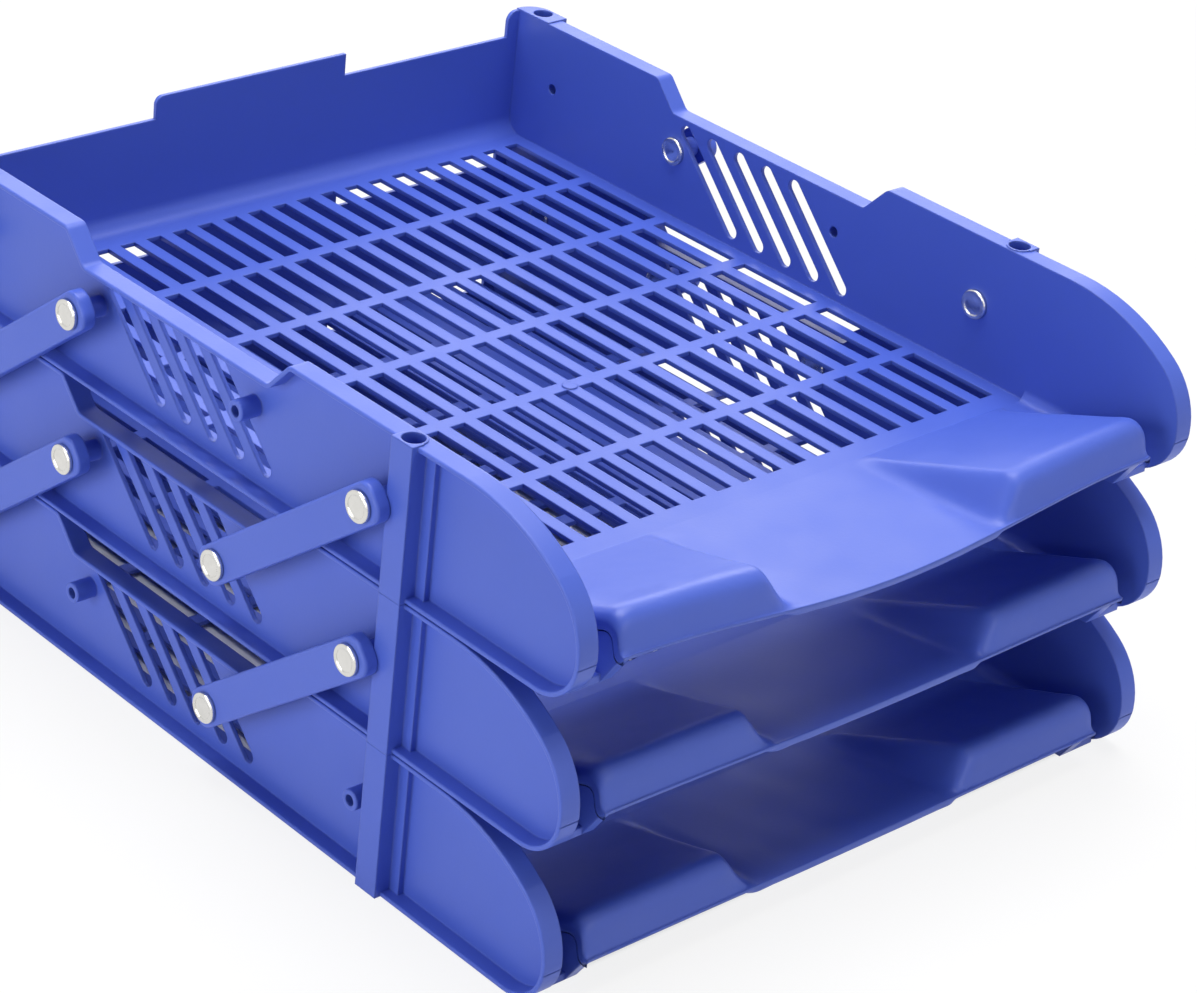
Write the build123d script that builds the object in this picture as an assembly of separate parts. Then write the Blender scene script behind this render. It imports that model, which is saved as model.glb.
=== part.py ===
"""Three-tier swing document tray: three moulded trays, eight swing arms and their capped rivets.

X is the width, +Y the rear, +Z up. The origin is the middle of the base.
"""
import math
import os

from build123d import *

# Tray as a whole
tray_width = 255.0            # over the rims of the two side walls
tray_depth = 314.0            # rear face to the noses of the side walls
tray_height = 50.0            # base to the tops of the corner posts, and the pitch of the tiers
sheet = 1.5                   # moulded wall thickness
cut_overrun = 5.0             # how far every cut reaches past the face it leaves

# Side walls
rim_width = 7.0               # from a wall's inner face to the edge of its rim
rim_drop = 0.4                # the rims lie this far below the posts, which carry the tray above
rim_edge_radius = 0.5
notch_depth = 10.0
notch_rear_inset = 74.6       # rear face to the top of the notch's rear slope
notch_slope_length = 9.3
notch_length = 91.8           # level bottom of the notch
notch_corner_radius = 3.0
nose_length = 50.0            # the front end curves down over this length
nose_radius = 26.0            # the tighter arc at the very front
foot_radius = 16.0            # under the nose
parting_height = 14.0         # parting line across the nose
parting_width = 0.5
parting_depth = 0.3

# Corner posts
post_face = 129.5             # outer face, from the middle of the tray
post_width = 9.2
post_step_width = 4.0         # lower step on the front side of a front post
post_step_height = 2.0        # above the wall
front_post_inset = 75.5       # front face to the middle of a front post
rear_post_inset = 9.0         # rear face to the middle of a rear post
rear_post_width = 17.0
rear_corner_radius = 8.0
socket_diameter = 7.0         # blind stacking hole in each post's top
socket_depth = 8.0
socket_inset = 4.3            # post face to the middle of the hole
post_seat_radius = 4.2        # round inner end of the raised seat on a front post

# Ventilation slots in the side walls
vent_count = 5
vent_pitch = 13.2
vent_width = 5.2
vent_length = 43.0
vent_angle = 45.0
vent_middle_inset = 131.3     # rear face to the middle slot
vent_middle_height = 21.6

# Back wall
back_height = 40.0
back_rise = 8.0               # raised middle part
back_rise_width = 81.0
back_rise_radius = 3.0
back_corner_width = 5.0       # the full-height corners reach this far in from the side walls
back_corner_radius = 4.0
back_cove_radius = 6.0

# Floor grid
floor_top = 3.0
slot_columns = 22
slot_rows = 6
slot_width = 5.85
slot_length = 34.7
column_pitch = 10.65
row_pitch = 39.7
grid_front_inset = 68.0       # front face to the front ends of the slots

# Front pads, and the scoop between them
front_thickness = 2.5         # the front sheet and its ends are thicker than the walls
fold_strip_width = 5.0        # so is the floor for this far behind the fold
fold_inset = 60.0             # front face to the line where the floor starts to rise
lip_inset = 1.0
lip_height = 12.5             # top of the front lip
ridge_inset = 5.0
ridge_height = 25.0           # where a pad's ramp and front face would meet if its ridge were sharp
pad_gap = 10.5                # open channel between a pad and its side wall
pad_edge_radius = 5.0
pad_end_inset = 0.3           # a pad's end wall stands back this far under the sheet's edge
flank_foot = 42.0             # middle of the tray to the foot of a pad's inner flank
flank_width = 13.0            # width of that flank at the lip
flank_apex_width = 4.0        # and at the fold
channel_front_inset = 9.0
channel_cove_radius = 4.0
channel_seam = 0.05           # fine seam beside the low rear end of a pad
channel_tongue_inset = 24.0   # fold line to where the channel's floor joins the pad's end wall
lip_bead_height = 1.0
lip_bead_reach = 0.5
gate_mark_diameter = 5.0
gate_mark_height = 0.4
gate_mark_inset = 84.0        # fold line to the moulding gate

# How far the middle of each tray's front lip hangs below its ends
lip_hangs = {"bottom_tray": 0.6, "middle_tray": 1.6, "top_tray": 8.4}

# Places along the front: on a pad's ramp, round its ridge, and across the scoop, flank, pad and pad's end
ramp_shares = (0, 0.25, 0.5, 0.75, 0.93, 1)
nose_shares = (0.25, 0.5, 0.75, 1)
scoop_shares = (0, 0.35, 0.7)
flank_shares = (-0.3, 0, 0.2, 0.4, 0.6, 0.8, 1, 1.3)
pad_shares = (0.4, 0.75)
end_shares = (1, 0.5, 0.2, 0.05, 0)
end_drop_share = 0.8          # of a full rounding
end_seat_share = 0.4          # a pad's end wall reaches up to here in the sheet's thickness

# Pivots
pivot_height = 26.5
arm_reach = 64.0              # rest offset along the depth between an arm's two pivots
rear_pivot_inset = 22.5       # rear face to the rear arm's lower pivot
front_pivot_inset = 149.5     # front face to the front arm's lower pivot
boss_diameter = 6.8
boss_edge_radius = 0.5
shank_diameter = 3.6
running_clearance = 0.05      # on the radius of every pivot bore
side_clearance = 0.2          # between a boss, its arm and the rivet's cap

# Swing arms
arm_width = 13.0
arm_thickness = 4.5
arm_overhang = 7.5            # pivot to the end of the arm
arm_corner_radius = 5.0
arm_edge_radius = 1.0

# Capped rivets
cap_diameter = 10.0
cap_height = 1.4
cap_edge_radius = 0.5
cap_dish_diameter = 7.2
cap_dish_depth = 0.25
spigot_diameter = 2.2
spigot_length = 2.8
spigot_end_gap = 0.3

# Worked out from the sizes above
rear = tray_depth / 2
front = -rear
half_width = tray_width / 2
wall_inner = half_width - rim_width
wall_outer = wall_inner + sheet
rim_top = tray_height - rim_drop
floor_bottom = floor_top - sheet
front_bottom = floor_top - front_thickness
back_inner = rear - sheet
front_post_y = front + front_post_inset
rear_post_y = rear - rear_post_inset
socket_x = post_face - socket_inset
fold_y = front + fold_inset
lip_y = front + lip_inset
ridge_y = front + ridge_inset
pad_outer = wall_inner - pad_gap
channel_front = front + channel_front_inset
rear_foot_pivot_y = rear - rear_pivot_inset
front_foot_pivot_y = front + front_pivot_inset
rear_head_pivot_y = rear_foot_pivot_y - arm_reach
front_head_pivot_y = front_foot_pivot_y - arm_reach
arm_inner = post_face + side_clearance
arm_outer = arm_inner + arm_thickness
cap_inner = arm_outer + side_clearance
pivot_bore = shank_diameter + 2 * running_clearance
arm_length = math.hypot(arm_reach, tray_height)
arm_angle = math.degrees(math.atan2(tray_height, -arm_reach))


def plane_at(x):
    """A YZ plane at one place across the width; its axes run to the rear and up."""
    return Plane.YZ.offset(x)


def polygon(*points):
    """A face with straight edges through the given points."""
    return make_face(Polyline(*points, close=True))


def slab(outline, start, end):
    """A solid from a YZ outline between two places across the width."""
    return extrude(plane_at(start) * outline, end - start)


def block(low, high):
    """A box between two corners."""
    size = Vector(*high) - Vector(*low)
    middle = (Vector(*high) + Vector(*low)) / 2
    return Pos(middle) * Box(size.X, size.Y, size.Z)


def mirrored(shape):
    """The same shape on the other side of the tray."""
    return mirror(shape, about=Plane.YZ)


def side_outline():
    """Outline of a side wall: notched top, curved nose and rounded foot."""
    notch_top_rear = rear - notch_rear_inset
    notch_low_rear = notch_top_rear - notch_slope_length
    notch_low_front = notch_low_rear - notch_length
    notch_top_front = notch_low_front - notch_slope_length
    notch_low = rim_top - notch_depth
    nose_start = front + nose_length
    nose_drop = rim_top - foot_radius
    span = nose_length**2 + nose_drop**2 - 2 * nose_length * nose_radius
    crown_radius = span / (2 * (nose_drop - nose_radius))
    crown_centre = Vector(nose_start, rim_top - crown_radius)
    nose_centre = Vector(front + nose_radius, foot_radius)
    foot_centre = Vector(front + foot_radius, foot_radius)
    reach = nose_centre - crown_centre
    meeting_angle = math.degrees(math.atan2(reach.Y, reach.X))
    top = FilletPolyline(
        (rear, rim_top),
        (notch_top_rear, rim_top),
        (notch_low_rear, notch_low),
        (notch_low_front, notch_low),
        (notch_top_front, rim_top),
        (nose_start, rim_top),
        radius=notch_corner_radius,
    )
    crown = CenterArc(crown_centre, crown_radius, 90, meeting_angle - 90)
    nose = CenterArc(nose_centre, nose_radius, meeting_angle, 180 - meeting_angle)
    foot = CenterArc(foot_centre, foot_radius, 180, 90)
    base = Polyline((front + foot_radius, 0), (rear, 0), (rear, rim_top))
    return make_face(Wire([*top.edges(), *crown.edges(), *nose.edges(), *foot.edges(), *base.edges()]))


def vent_outline(index):
    """One slanting slot of a side wall, round at both ends."""
    y = rear - vent_middle_inset + (index - (vent_count - 1) / 2) * vent_pitch
    return Pos(y, vent_middle_height) * SlotOverall(vent_length, vent_width, rotation=vent_angle)


def front_post():
    """The post outside a side wall near its front, with a lower step on its front side."""
    y_front = front_post_y - post_width / 2
    y_rear = front_post_y + post_width / 2
    post = block((wall_inner, y_front, 0), (post_face, y_rear, rim_top))
    step_face = wall_outer + post_step_height
    step = block((wall_inner, y_front - post_step_width, 0), (step_face, y_front, rim_top))
    seat = block((socket_x, y_front, 0), (post_face, y_rear, tray_height))
    round_end = Pos(socket_x, front_post_y, tray_height / 2) * Cylinder(post_seat_radius, tray_height)
    return post + step + seat + round_end


def rear_post():
    """The wider post at a rear corner."""
    return block((wall_inner, rear - rear_post_width, 0), (post_face, rear, tray_height))


def socket(y):
    """The blind stacking hole in the top of a post."""
    depth = socket_depth + cut_overrun
    return Pos(socket_x, y, tray_height - socket_depth + depth / 2) * Cylinder(socket_diameter / 2, depth)


def across(x_start, x_end, y, z, diameter):
    """A round bar along X."""
    middle = ((x_start + x_end) / 2, y, z)
    return Pos(*middle) * Rot(0, 90, 0) * Cylinder(diameter / 2, x_end - x_start)


def boss(y):
    """A pivot boss outside a side wall, with a rounded end."""
    bar = across(wall_inner, post_face, y, pivot_height, boss_diameter)
    return fillet(bar.edges().group_by(Axis.X)[-1], boss_edge_radius)


def pivot_places():
    """Depth of the four pivots of a side wall."""
    return (rear_foot_pivot_y, rear_head_pivot_y, front_foot_pivot_y, front_head_pivot_y)


def side_wall():
    """The right side wall: web, rim, posts, bosses and ventilation slots."""
    outline = side_outline()
    rim = slab(outline - offset(outline, -sheet), wall_inner, half_width)
    rim = fillet(rim.edges().group_by(Axis.X)[-1], rim_edge_radius)
    wall = slab(outline, wall_inner, wall_outer) + rim + front_post() + rear_post()
    wall += [boss(y) for y in pivot_places()]
    cuts = [socket(y) for y in (front_post_y, rear_post_y)]
    for y in pivot_places():
        cuts.append(across(wall_inner - cut_overrun, post_face + cut_overrun, y, pivot_height, pivot_bore))
    for index in range(vent_count):
        cuts.append(slab(vent_outline(index), wall_inner - cut_overrun, half_width))
    cuts.append(block(
        (wall_inner, front - cut_overrun, parting_height),
        (half_width, front + parting_depth, parting_height + parting_width),
    ))
    cuts.append(rear_corner())
    return wall - cuts


def rear_corner():
    """What the rounded rear corner of the plan takes away from a rear post."""
    centre = (post_face - rear_corner_radius, rear - rear_corner_radius)
    outer = (post_face + cut_overrun, rear + cut_overrun, tray_height + cut_overrun)
    square = block((*centre, -cut_overrun), outer)
    height = tray_height + 2 * cut_overrun
    return square - Pos(*centre, tray_height / 2) * Cylinder(rear_corner_radius, height)


def back_wall():
    """The back wall with its raised middle, its full-height corners and the cove at its foot."""
    low = Pos(0, back_height / 2) * Rectangle(2 * wall_inner, back_height)
    rise_height = back_height + back_rise
    rise = Pos(0, rise_height / 2) * Rectangle(back_rise_width, rise_height)
    left_top = rise.vertices().group_by(Axis.Y)[-1].sort_by(Axis.X)[0]
    outline = low + fillet(left_top, back_rise_radius)
    for side in (-1, 1):
        x = side * (wall_inner - back_corner_width / 2)
        corner = Pos(x, rim_top / 2) * Rectangle(back_corner_width, rim_top)
        inner_top = corner.vertices().group_by(Axis.Y)[-1].sort_by(Axis.X)[0 if side > 0 else -1]
        outline += fillet(inner_top, back_corner_radius)
    wall = extrude(Plane.XZ.offset(-rear) * outline, sheet)
    return wall + cove(back_inner, back_cove_radius, 1)


def cove_outline(corner, radius, side):
    """A hollow-cornered fillet section in the corner where a wall meets the floor."""
    square = Pos(corner - side * radius / 2, floor_top + radius / 2) * Rectangle(radius, radius)
    return square - Pos(corner - side * radius, floor_top + radius) * Circle(radius)


def cove(corner, radius, side):
    """The cove along the back wall, across the whole width."""
    return slab(cove_outline(corner, radius, side), -wall_inner, wall_inner)


def floor_grid():
    """The flat floor with its rows of slots."""
    floor = block((-wall_inner, fold_y, floor_bottom), (wall_inner, rear, floor_top))
    floor += block((-wall_inner, fold_y, front_bottom), (wall_inner, fold_y + fold_strip_width, floor_top))
    slot = Box(slot_width, slot_length, sheet + 2 * cut_overrun)
    grid_middle = front + grid_front_inset + (slot_length + (slot_rows - 1) * row_pitch) / 2
    places = Pos(0, grid_middle, floor_top) * GridLocations(column_pitch, row_pitch, slot_columns, slot_rows)
    return floor - [place * slot for place in places]


def smooth_step(share):
    """Rises smoothly from 0 to 1 as the share does, and stays level outside."""
    held = min(max(share, 0), 1)
    return held * held * (3 - 2 * held)


def pad_profile():
    """Points along a pad, from the fold up its ramp, round its ridge and down to the lip."""
    fold = Vector(fold_y, floor_top)
    ridge = Vector(ridge_y, ridge_height)
    lip = Vector(lip_y, lip_height)
    up = (ridge - fold).normalized()
    down = (lip - ridge).normalized()
    inward = (down - up * up.dot(down)).normalized()
    turn = math.radians(up.get_angle(down))
    nose_start = ridge - up * pad_edge_radius * math.tan(turn / 2)
    points = [fold + (nose_start - fold) * share for share in ramp_shares]
    for share in nose_shares:
        angle = share * turn
        points.append(nose_start + (up * math.sin(angle) + inward * (1 - math.cos(angle))) * pad_edge_radius)
    return [*points, (points[-1] + lip) / 2, lip]


def front_profile(x, hang):
    """Points along the front sheet at one place across the width: scoop, flank or pad."""
    drop_at_lip = hang * (1 + math.cos(math.pi * x / pad_outer)) / 2
    end_depth = max(pad_edge_radius - (pad_outer - abs(x)), 0)
    end_drop = pad_edge_radius - math.sqrt(pad_edge_radius**2 - end_depth**2)
    points = []
    for place in pad_profile():
        share = (fold_y - place.X) / (fold_y - lip_y)
        scoop_top = floor_top + (lip_height - floor_top) * share
        width = flank_apex_width + (flank_width - flank_apex_width) * share
        z = scoop_top + (place.Y - scoop_top) * smooth_step((abs(x) - flank_foot) / width)
        if share < 1:
            z -= end_drop * end_drop_share * min((z - floor_top) / pad_edge_radius, 1)
        points.append(Vector(place.X, z - drop_at_lip * share))
    return points


def underside(points):
    """The same profile on the underside of the sheet."""
    below = [points[0] - Vector(0, front_thickness)]
    for before, here, after in zip(points, points[1:], points[2:] + points[-1:]):
        along = (after - before).normalized()
        below.append(here + Vector(-along.Y, along.X) * front_thickness)
    return below


def front_stations():
    """Places across the width where the front sheet is shaped, from left to right."""
    pad_start = flank_foot + flank_width
    places = [flank_foot * share for share in scoop_shares]
    places += [flank_foot + flank_width * share for share in flank_shares]
    places += [pad_start + (pad_outer - pad_start) * share for share in pad_shares]
    places += end_stations()
    return [-x for x in places[:0:-1]] + places


def end_stations():
    """Places over the rounded outer end of the right pad."""
    return [pad_outer - pad_edge_radius * share for share in end_shares]


def front_sheet(hang):
    """The rising front of the tray, one sheet from the outer end of one pad to that of the other."""
    sections = []
    for x in front_stations():
        top = front_profile(x, hang)
        below = underside(top)
        bead_top = top[-1] - Vector(lip_bead_reach, 0)
        bead_foot = bead_top - Vector(0, lip_bead_height)
        edges = [
            Spline(*top),
            Line(top[-1], bead_top),
            Line(bead_top, bead_foot),
            Line(bead_foot, below[-1]),
            Spline(*reversed(below)),
            Line(below[0], top[0]),
        ]
        sections.append(plane_at(x) * make_face(Wire(edges)))
    return loft(sections)


def pad_end():
    """The outer end wall of the right pad, under the rounded end of the front sheet."""
    x_out = pad_outer - pad_end_inset
    top = front_profile(x_out, 0)
    seat = [here + (below - here) * end_seat_share for here, below in zip(top, underside(top))]
    foot = [Vector(channel_front, front_bottom), Vector(fold_y, front_bottom)]
    return slab(polygon(*seat, *foot), pad_outer - pad_edge_radius, x_out)


def channel():
    """The floor strip between the right pad and the side wall, hollowed towards the wall."""
    start = pad_outer + channel_seam
    strip = block((start, channel_front, front_bottom), (wall_inner, fold_y, floor_top))
    tongue_end = fold_y - channel_tongue_inset
    tongue_start = pad_outer - front_thickness
    tongue = block((tongue_start, channel_front, front_bottom), (wall_inner, tongue_end, floor_top))
    section = Pos(wall_inner, 0, 0) * cove_section(-1)
    cove_strip = extrude(Plane.XZ.offset(-fold_y) * section, fold_y - channel_front)
    return strip + tongue + cove_strip


def cove_section(side):
    """Section of a channel's cove beside a wall at x = 0, on the wall's given side."""
    radius = channel_cove_radius
    square = Pos(side * radius / 2, floor_top + radius / 2) * Rectangle(radius, radius)
    return square - Pos(side * radius, floor_top + radius) * Circle(radius)


def tray_body():
    """A moulded tray without the front sheet, standing on z = 0."""
    right = side_wall() + pad_end() + channel()
    gate_y = fold_y + gate_mark_inset
    gate = Pos(0, gate_y, floor_top) * Cylinder(gate_mark_diameter / 2, 2 * gate_mark_height)
    return floor_grid() + back_wall() + gate + right + mirrored(right)


def make_arm():
    """A swing arm along +Y from its lower pivot at the origin, its outer face towards +X."""
    length = arm_length + 2 * arm_overhang
    outline = Pos(arm_length / 2, 0) * RectangleRounded(length, arm_width, arm_corner_radius)
    arm = slab(outline, arm_inner, arm_outer)
    arm = fillet(arm.edges().group_by(Axis.X)[-1], arm_edge_radius)
    for y in (0, arm_length):
        arm -= across(arm_inner - cut_overrun, arm_outer + cut_overrun, y, 0, pivot_bore)
    return arm


def cap(direction):
    """A round rivet cap seated on x = 0 and standing out towards the given side."""
    disc = across(0, cap_height, 0, 0, cap_diameter)
    disc = fillet(disc.edges().group_by(Axis.X)[-1], cap_edge_radius)
    disc -= across(cap_height - cap_dish_depth, cap_height + cut_overrun, 0, 0, cap_dish_diameter)
    return disc if direction > 0 else mirrored(disc)


def make_rivet():
    """The outer half of a pivot: cap, shank through arm and boss, and a thinner spigot."""
    shoulder = (wall_inner + post_face) / 2
    spigot_end = shoulder - spigot_length
    rivet = Pos(cap_inner, 0, 0) * cap(1)
    rivet += across(shoulder, cap_inner, 0, 0, shank_diameter)
    return rivet + across(spigot_end, shoulder, 0, 0, spigot_diameter)


def make_rivet_cap():
    """The inner half of a pivot: a cap against the wall and a socket for the spigot."""
    shoulder = (wall_inner + post_face) / 2
    inner = Pos(wall_inner, 0, 0) * cap(-1)
    inner += across(wall_inner, shoulder, 0, 0, shank_diameter)
    bore = spigot_diameter + 2 * running_clearance
    bore_end = shoulder - spigot_length - spigot_end_gap
    return inner - across(bore_end, shoulder + cut_overrun, 0, 0, bore)


def placed(shape, side, y, z, angle=0.0):
    """A pivot piece set at a place on the right or left side of the tray."""
    turned = Pos(0, y, z) * Rot(angle, 0, 0) * shape
    return turned if side == "right" else mirrored(turned)


def build():
    """All the pieces, by name."""
    pieces = {}
    body = tray_body()
    for tier, (name, hang) in enumerate(lip_hangs.items()):
        pieces[name] = Pos(0, 0, tier * tray_height) * (body + front_sheet(hang))
    arm, rivet, rivet_cap = make_arm(), make_rivet(), make_rivet_cap()
    foot_places = {"rear": rear_foot_pivot_y, "front": front_foot_pivot_y}
    for tier, gap in enumerate(("lower", "upper")):
        foot_z = tier * tray_height + pivot_height
        head_z = foot_z + tray_height
        for side in ("left", "right"):
            for end, foot_y in foot_places.items():
                name = f"{gap}_{side}_{end}"
                head_y = foot_y - arm_reach
                pieces[f"{name}_arm"] = placed(arm, side, foot_y, foot_z, arm_angle)
                for joint, y, z in (("foot", foot_y, foot_z), ("head", head_y, head_z)):
                    pieces[f"{name}_{joint}_rivet"] = placed(rivet, side, y, z)
                    pieces[f"{name}_{joint}_rivet_cap"] = placed(rivet_cap, side, y, z)
    return pieces


os.makedirs("parts", exist_ok=True)
for piece_name, piece in build().items():
    export_step(piece, f"parts/{piece_name}.step")
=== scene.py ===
"""Three-tier swing document tray in a plain pale studio: satin blue plastic and chromed rivets."""

import bpy
from mathutils import Matrix, Vector


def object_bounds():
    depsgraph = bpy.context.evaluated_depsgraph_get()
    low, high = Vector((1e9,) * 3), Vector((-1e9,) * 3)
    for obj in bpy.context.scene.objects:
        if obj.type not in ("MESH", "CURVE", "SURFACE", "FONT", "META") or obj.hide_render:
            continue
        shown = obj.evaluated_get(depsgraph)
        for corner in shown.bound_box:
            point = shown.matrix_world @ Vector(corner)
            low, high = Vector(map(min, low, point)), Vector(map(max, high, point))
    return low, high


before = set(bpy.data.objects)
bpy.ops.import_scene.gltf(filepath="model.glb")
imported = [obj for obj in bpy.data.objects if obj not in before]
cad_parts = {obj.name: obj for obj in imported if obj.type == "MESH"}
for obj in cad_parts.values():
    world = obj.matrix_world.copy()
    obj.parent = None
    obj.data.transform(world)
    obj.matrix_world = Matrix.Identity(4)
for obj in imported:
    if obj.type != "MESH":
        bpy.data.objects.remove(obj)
cad_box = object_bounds()

# The photograph's frame, in pixels, and the camera that sees the tray as it does, in metres
PHOTO_WIDTH = 1197
PHOTO_HEIGHT = 993
FOCAL_PIXELS = 3513.19
OPTICAL_CENTRE = (450, 500)
SENSOR_WIDTH = 36.0  # millimetres
CLIP_START = 0.01  # metres
CAMERA_PLACE = (-0.697293, -0.720435, 0.596298)
CAMERA_RIGHT = (0.762301, -0.642267, 0.079940)
CAMERA_UP = (0.254241, 0.410737, 0.875589)
CAMERA_BACK = (-0.595197, -0.647138, 0.476396)

# Blue plastic: linear colours, gloss, and the scales of its noises per metre
PLASTIC_COLOUR = (0.070, 0.124, 0.550)
PLASTIC_DEEP = (0.061, 0.110, 0.515)
PLASTIC_ROUGHNESS = (0.36, 0.44)
PLASTIC_SPECULAR = 0.36
DRIFT_SCALE = 9.0
GLOSS_SCALE = 55.0
PLASTIC_GRAIN_SCALE = 900.0
PLASTIC_GRAIN_STRENGTH = 0.06

# Chrome: linear colours, haze, and the scales of its noises per metre
CHROME_COLOUR = (0.74, 0.73, 0.70)
CHROME_DEEP = (0.64, 0.63, 0.60)
CHROME_ROUGHNESS = (0.05, 0.16)
CHROME_METALLIC = 1.0
HAZE_SCALE = 320.0
CHROME_GRAIN_SCALE = 1500.0
CHROME_GRAIN_STRENGTH = 0.02

# Shared by both finishes, lengths in metres
NOISE_DETAIL = 3.0
NOISE_BAND = (0.3, 0.7)
EDGE_RADIUS = 0.0008
EDGE_SAMPLES = 6
GRAIN_DEPTH = 0.0004

# Factors that run from 0 to 1
UNIT_BAND = (0, 1)

# Studio, in metres and watts: the floor is seen as white by a share, but not under the tray
FLOOR_COLOUR = (0.86, 0.86, 0.86)
FLOOR_SIZE = 12.0
FLOOR_WHITE_SHARE = 0.85
FOOTPRINT_INSET = 0.010
FOOTPRINT_FADE = 0.008
WORLD_COLOUR = (1.0, 1.0, 1.0)
WORLD_STRENGTH = 0.05  # as soft light
WORLD_WHITE = 1.0  # as seen by the camera and in gloss
LAMPS = {
    "overhead_softbox": dict(place=(0.10, 0.15, 1.50), size=1.1, power=29.0),
    "back_softbox": dict(place=(1.40, 1.50, 0.95), size=1.6, power=17.0),
    "left_softbox": dict(place=(-1.60, 0.05, 0.24), size=1.2, power=20.0),
    "front_softbox": dict(place=(0.20, -1.50, 0.80), size=1.0, power=6.5),
}
LAMP_AIM = (0.0, 0.0, 0.08)


def new_material(name):
    """A material with an empty node tree, its nodes and its links."""
    material = bpy.data.materials.new(name)
    material.use_nodes = True
    nodes = material.node_tree.nodes
    nodes.clear()
    return material, nodes, material.node_tree.links


def noise(nodes, links, scale):
    """A noise from 0 to 1 in the object's own coordinates, in metres."""
    place = nodes.new("ShaderNodeTexCoord")
    texture = nodes.new("ShaderNodeTexNoise")
    texture.inputs["Scale"].default_value = scale
    texture.inputs["Detail"].default_value = NOISE_DETAIL
    links.new(place.outputs["Object"], texture.inputs["Vector"])
    return texture.outputs["Fac"]


def spread(nodes, links, source, band, limits):
    """A number in a band, stretched to lie between two limits."""
    span = nodes.new("ShaderNodeMapRange")
    span.inputs["From Min"].default_value = band[0]
    span.inputs["From Max"].default_value = band[1]
    span.inputs["To Min"].default_value = limits[0]
    span.inputs["To Max"].default_value = limits[1]
    links.new(source, span.inputs["Value"])
    return span.outputs["Result"]


def two_tone(nodes, links, source, first, second):
    """A noise turned into a colour between two colours."""
    mix = nodes.new("ShaderNodeMix")
    mix.data_type = "RGBA"
    mix.inputs["A"].default_value = (*first, 1)
    mix.inputs["B"].default_value = (*second, 1)
    links.new(source, mix.inputs["Factor"])
    return mix.outputs["Result"]


def soft_edges(nodes, links, grain_scale, grain_strength):
    """A normal that rounds sharp edges a little and carries a fine grain."""
    bevel = nodes.new("ShaderNodeBevel")
    bevel.samples = EDGE_SAMPLES
    bevel.inputs["Radius"].default_value = EDGE_RADIUS
    bump = nodes.new("ShaderNodeBump")
    bump.inputs["Strength"].default_value = grain_strength
    bump.inputs["Distance"].default_value = GRAIN_DEPTH
    links.new(noise(nodes, links, grain_scale), bump.inputs["Height"])
    links.new(bevel.outputs["Normal"], bump.inputs["Normal"])
    return bump.outputs["Normal"]


def finish_shader(nodes, links, colour, roughness, normal):
    """A surface shader with its colour, roughness and normal, wired to the material's output."""
    shader = nodes.new("ShaderNodeBsdfPrincipled")
    output = nodes.new("ShaderNodeOutputMaterial")
    links.new(colour, shader.inputs["Base Color"])
    links.new(roughness, shader.inputs["Roughness"])
    links.new(normal, shader.inputs["Normal"])
    links.new(shader.outputs["BSDF"], output.inputs["Surface"])
    return shader


def plastic(name):
    """Satin injection-moulded plastic: slow colour drift, patchy gloss and a fine grain."""
    material, nodes, links = new_material(name)
    drift = noise(nodes, links, DRIFT_SCALE)
    gloss = noise(nodes, links, GLOSS_SCALE)
    colour = two_tone(nodes, links, drift, PLASTIC_DEEP, PLASTIC_COLOUR)
    roughness = spread(nodes, links, gloss, NOISE_BAND, PLASTIC_ROUGHNESS)
    normal = soft_edges(nodes, links, PLASTIC_GRAIN_SCALE, PLASTIC_GRAIN_STRENGTH)
    shader = finish_shader(nodes, links, colour, roughness, normal)
    shader.inputs["Specular IOR Level"].default_value = PLASTIC_SPECULAR
    return material


def chrome():
    """Bright plated metal with a faint haze."""
    material, nodes, links = new_material("chrome")
    haze = noise(nodes, links, HAZE_SCALE)
    colour = two_tone(nodes, links, haze, CHROME_DEEP, CHROME_COLOUR)
    roughness = spread(nodes, links, haze, NOISE_BAND, CHROME_ROUGHNESS)
    normal = soft_edges(nodes, links, CHROME_GRAIN_SCALE, CHROME_GRAIN_STRENGTH)
    shader = finish_shader(nodes, links, colour, roughness, normal)
    shader.inputs["Metallic"].default_value = CHROME_METALLIC
    return material


def outside_footprint(nodes, links):
    """A factor on the floor: 0 under the tray, 1 a little way outside its footprint."""
    place = nodes.new("ShaderNodeTexCoord")
    parts = nodes.new("ShaderNodeSeparateXYZ")
    links.new(place.outputs["Object"], parts.inputs["Vector"])
    farthest = nodes.new("ShaderNodeMath")
    farthest.operation = "MAXIMUM"
    for index, axis in enumerate("XY"):
        edge = cad_box[1][index] - FOOTPRINT_INSET
        size = nodes.new("ShaderNodeMath")
        size.operation = "ABSOLUTE"
        links.new(parts.outputs[axis], size.inputs[0])
        fade = spread(nodes, links, size.outputs[0], (edge - FOOTPRINT_FADE, edge), UNIT_BAND)
        links.new(fade, farthest.inputs[index])
    return farthest.outputs[0]


def combine(nodes, links, operation, first, second):
    """Two factors combined by an operation."""
    both = nodes.new("ShaderNodeMath")
    both.operation = operation
    links.new(first, both.inputs[0])
    links.new(second, both.inputs[1])
    return both.outputs[0]


def sees_background(nodes, links):
    """A factor: 1 for rays from the camera, from gloss or through glass, and 0 for soft light."""
    path = nodes.new("ShaderNodeLightPath")
    seen = path.outputs["Is Camera Ray"]
    for kind in ("Is Glossy Ray", "Is Transmission Ray"):
        seen = combine(nodes, links, "MAXIMUM", seen, path.outputs[kind])
    return seen


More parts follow.
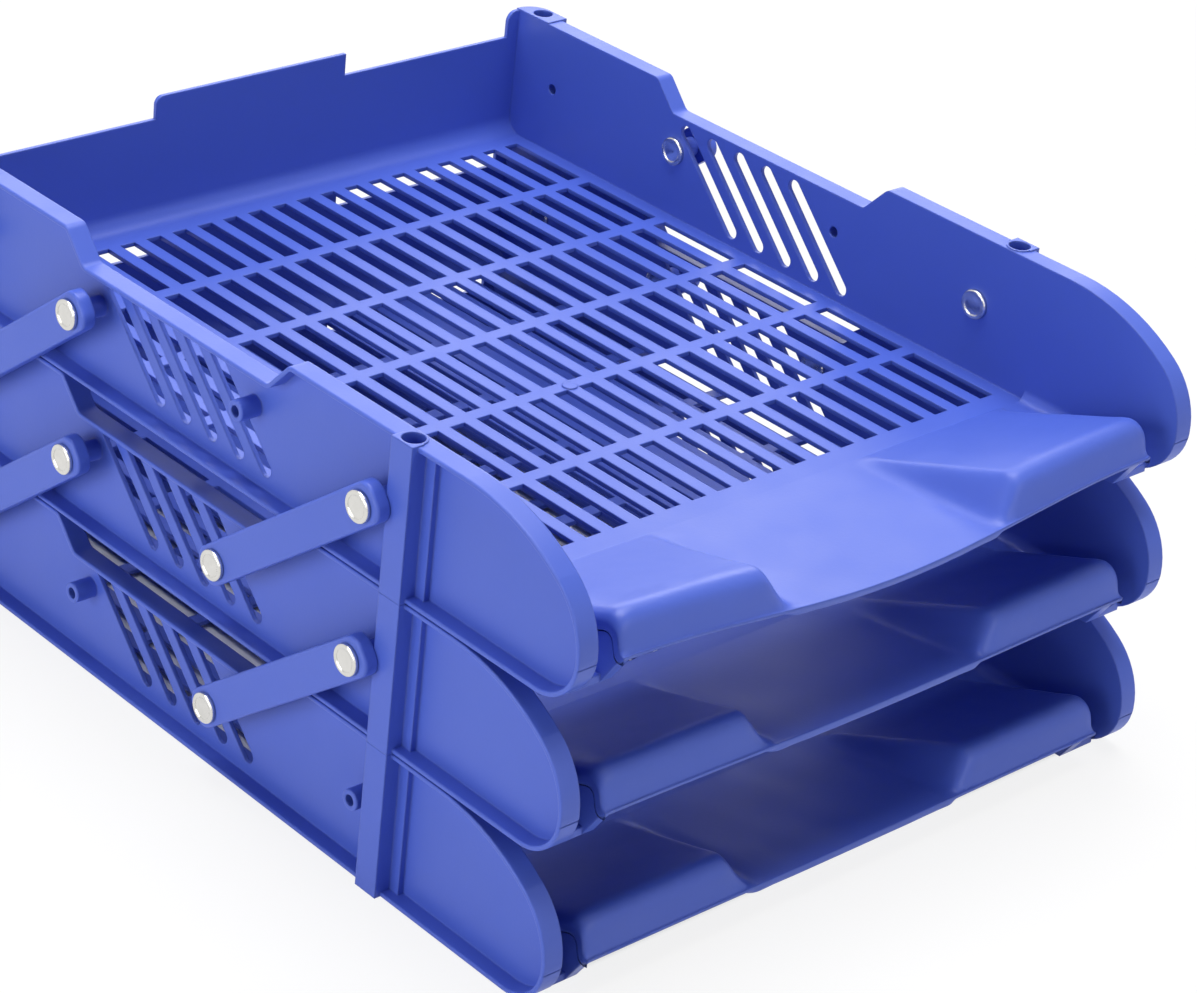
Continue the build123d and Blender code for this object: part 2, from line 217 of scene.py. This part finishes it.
def studio_white():
    """A pale surface that is seen as near white with a faint shadow, and as it is under the tray."""
    material, nodes, links = new_material("studio_floor")
    output = nodes.new("ShaderNodeOutputMaterial")
    plain = nodes.new("ShaderNodeBsdfDiffuse")
    plain.inputs["Color"].default_value = (*FLOOR_COLOUR, 1)
    white = nodes.new("ShaderNodeEmission")
    seen = sees_background(nodes, links)
    shown = combine(nodes, links, "MULTIPLY", seen, outside_footprint(nodes, links))
    mixed = nodes.new("ShaderNodeMixShader")
    whiteness = spread(nodes, links, shown, UNIT_BAND, (0, FLOOR_WHITE_SHARE))
    links.new(whiteness, mixed.inputs["Fac"])
    links.new(plain.outputs["BSDF"], mixed.inputs[1])
    links.new(white.outputs["Emission"], mixed.inputs[2])
    links.new(mixed.outputs["Shader"], output.inputs["Surface"])
    return material


def dress():
    """Gives every CAD node its finish."""
    tray_finish = plastic("tray_plastic")
    arm_finish = plastic("arm_plastic")
    chrome_finish = chrome()
    for name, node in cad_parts.items():
        if name.endswith("tray"):
            finish = tray_finish
        elif name.endswith("arm"):
            finish = arm_finish
        else:
            finish = chrome_finish
        node.data.materials.clear()
        node.data.materials.append(finish)


def add_floor():
    """A wide pale floor under the tray."""
    mesh = bpy.data.meshes.new("studio_floor")
    half = FLOOR_SIZE / 2
    corners = [(-half, -half, 0), (half, -half, 0), (half, half, 0), (-half, half, 0)]
    mesh.from_pydata(corners, [], [(0, 1, 2, 3)])
    floor = bpy.data.objects.new("studio_floor", mesh)
    bpy.context.scene.collection.objects.link(floor)
    mesh.materials.append(studio_white())


def add_world():
    """Plain soft light from all round, seen as white by the camera and in gloss."""
    world = bpy.data.worlds.new("studio_world")
    bpy.context.scene.world = world
    world.use_nodes = True
    nodes = world.node_tree.nodes
    links = world.node_tree.links
    background = nodes["Background"]
    background.inputs["Color"].default_value = (*WORLD_COLOUR, 1)
    seen = sees_background(nodes, links)
    level = spread(nodes, links, seen, UNIT_BAND, (WORLD_STRENGTH, WORLD_WHITE))
    links.new(level, background.inputs["Strength"])


def add_lamps():
    """Soft boxes above, behind, in front and to the left."""
    for name, lamp in LAMPS.items():
        light = bpy.data.lights.new(name, "AREA")
        light.shape = "SQUARE"
        light.size = lamp["size"]
        light.energy = lamp["power"]
        holder = bpy.data.objects.new(name, light)
        holder.location = lamp["place"]
        aim = Vector(LAMP_AIM) - holder.location
        holder.rotation_euler = aim.to_track_quat("-Z", "Y").to_euler()
        bpy.context.scene.collection.objects.link(holder)


def add_camera():
    """The camera of the photograph."""
    data = bpy.data.cameras.new("photo_camera")
    data.sensor_fit = "HORIZONTAL"
    data.sensor_width = SENSOR_WIDTH
    data.lens = FOCAL_PIXELS / PHOTO_WIDTH * SENSOR_WIDTH
    data.shift_x = (PHOTO_WIDTH / 2 - OPTICAL_CENTRE[0]) / PHOTO_WIDTH
    data.shift_y = (OPTICAL_CENTRE[1] - PHOTO_HEIGHT / 2) / PHOTO_WIDTH
    data.clip_start = CLIP_START
    camera = bpy.data.objects.new("photo_camera", data)
    turn = Matrix((CAMERA_RIGHT, CAMERA_UP, CAMERA_BACK)).transposed()
    camera.matrix_world = Matrix.Translation(CAMERA_PLACE) @ turn.to_4x4()
    bpy.context.scene.collection.objects.link(camera)
    bpy.context.scene.camera = camera


dress()
add_floor()
add_world()
add_lamps()
add_camera()
bpy.context.scene.view_settings.view_transform = "Standard"
